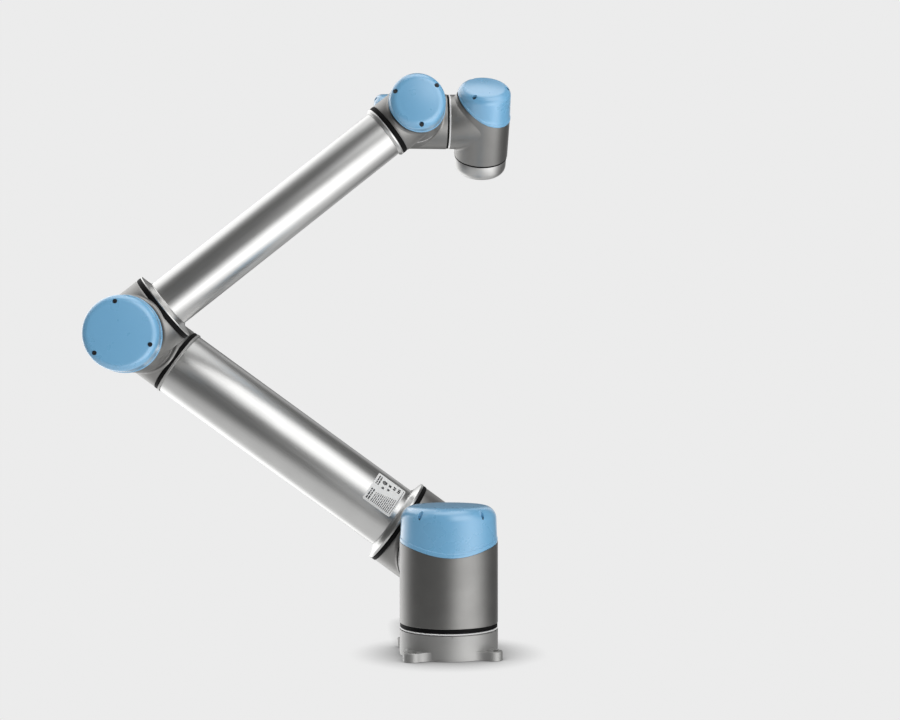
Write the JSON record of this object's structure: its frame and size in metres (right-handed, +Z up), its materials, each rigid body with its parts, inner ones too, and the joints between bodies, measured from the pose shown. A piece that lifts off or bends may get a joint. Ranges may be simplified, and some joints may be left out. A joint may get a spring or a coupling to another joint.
{
  "type": "collaborative robot arm",
  "caption": "Articulated robot arm with stacked revolute joints, round metal castings under rounded caps, two straight tubes, a bolted foot and a round tool flange.",
  "frame": {"origin": "centre of the bracket's flat mounting face", "axes": "+Z up, out of the mounting face along the base joint; +Y along the shoulder joint, away from the viewer; -X is where the upper arm reaches at rest"},
  "size_m": [0.6658, 0.3976, 0.9202],
  "materials": {
    "cap": "satin moulded, light blue",
    "casting": "fine matt grey anodised casting",
    "tube": "satin brushed along the tube",
    "machined": "turned",
    "black_rubber": "matt",
    "gear_steel": "ground",
    "motor_steel": "wound stator and brake",
    "circuit_board": "green board",
    "black_plastic": "matt"
  },
  "bodies": {
    "base": {"base_bracket": "machined", "base_cable_gland": "black_plastic", "base_output_flange": "machined"},
    "shoulder": {"base_housing": "casting", "base_lid": "cap", "base_seal_ring": "black_rubber", "base_gear_unit": "gear_steel", "base_motor": "motor_steel", "base_control_board": "circuit_board", "shoulder_output_flange": "machined"},
    "upper_arm": {"shoulder_housing": "casting", "shoulder_lid": "cap", "shoulder_seal_ring": "black_rubber", "shoulder_gear_unit": "gear_steel", "shoulder_motor": "motor_steel", "shoulder_control_board": "circuit_board", "upper_arm_shoulder_gasket": "black_rubber", "upper_arm_shoulder_flare": "tube", "upper_arm_tube": "tube", "upper_arm_elbow_collar": "machined", "upper_arm_elbow_gasket": "black_rubber", "elbow_housing": "casting", "elbow_lid": "cap", "elbow_seal_ring": "black_rubber", "elbow_gear_unit": "gear_steel", "elbow_motor": "motor_steel", "elbow_control_board": "circuit_board"},
    "forearm": {"elbow_output_flange": "machined", "forearm_elbow_housing": "casting", "forearm_elbow_lid": "cap", "forearm_elbow_gasket": "black_rubber", "forearm_elbow_flare": "tube", "forearm_tube": "tube", "forearm_wrist_flare": "tube", "forearm_wrist_gasket": "black_rubber", "wrist_1_housing": "casting", "wrist_1_lid": "cap", "wrist_1_seal_ring": "black_rubber", "wrist_1_gear_unit": "gear_steel", "wrist_1_motor": "motor_steel", "wrist_1_control_board": "circuit_board"},
    "wrist_1": {"wrist_1_output_flange": "machined", "wrist_2_housing": "casting", "wrist_2_lid": "cap", "wrist_2_seal_ring": "black_rubber", "wrist_2_gear_unit": "gear_steel", "wrist_2_motor": "motor_steel", "wrist_2_control_board": "circuit_board"},
    "wrist_2": {"wrist_2_output_flange": "machined", "wrist_3_housing": "casting", "wrist_3_lid": "cap", "wrist_3_seal_ring": "black_rubber", "wrist_3_gear_unit": "gear_steel", "wrist_3_motor": "motor_steel", "wrist_3_control_board": "circuit_board"},
    "wrist_3": {"tool_flange": "machined", "tool_connector": "black_plastic"}
  },
  "joints": [
    {"name": "base_joint", "type": "hinge", "parent": "base", "child": "shoulder", "pos_m": [0, 0, 0], "axis": [0, 0, 1], "range_deg": [-360, 360]},
    {"name": "shoulder_joint", "type": "hinge", "parent": "shoulder", "child": "upper_arm", "pos_m": [0, 0.2209, 0.1273], "axis": [0, 1, 0], "range_deg": [-360, 360]},
    {"name": "elbow_joint", "type": "hinge", "parent": "upper_arm", "child": "forearm", "pos_m": [-0.49392, 0.049, 0.48866], "axis": [0, 1, 0], "range_deg": [-260, 45]},
    {"name": "wrist_1_joint", "type": "hinge", "parent": "forearm", "child": "wrist_1", "pos_m": [-0.04828, 0.049, 0.84774], "axis": [0, 1, 0], "range_deg": [-360, 360]},
    {"name": "wrist_2_joint", "type": "hinge", "parent": "wrist_1", "child": "wrist_2", "pos_m": [-0.04828, 0.1639, 0.84774], "axis": [1, 0, 0], "range_deg": [-360, 360]},
    {"name": "wrist_3_joint", "type": "hinge", "parent": "wrist_2", "child": "wrist_3", "pos_m": [0.06742, 0.1639, 0.84774], "axis": [0, 0.6157, -0.788], "range_deg": [-360, 360]}
  ]
}
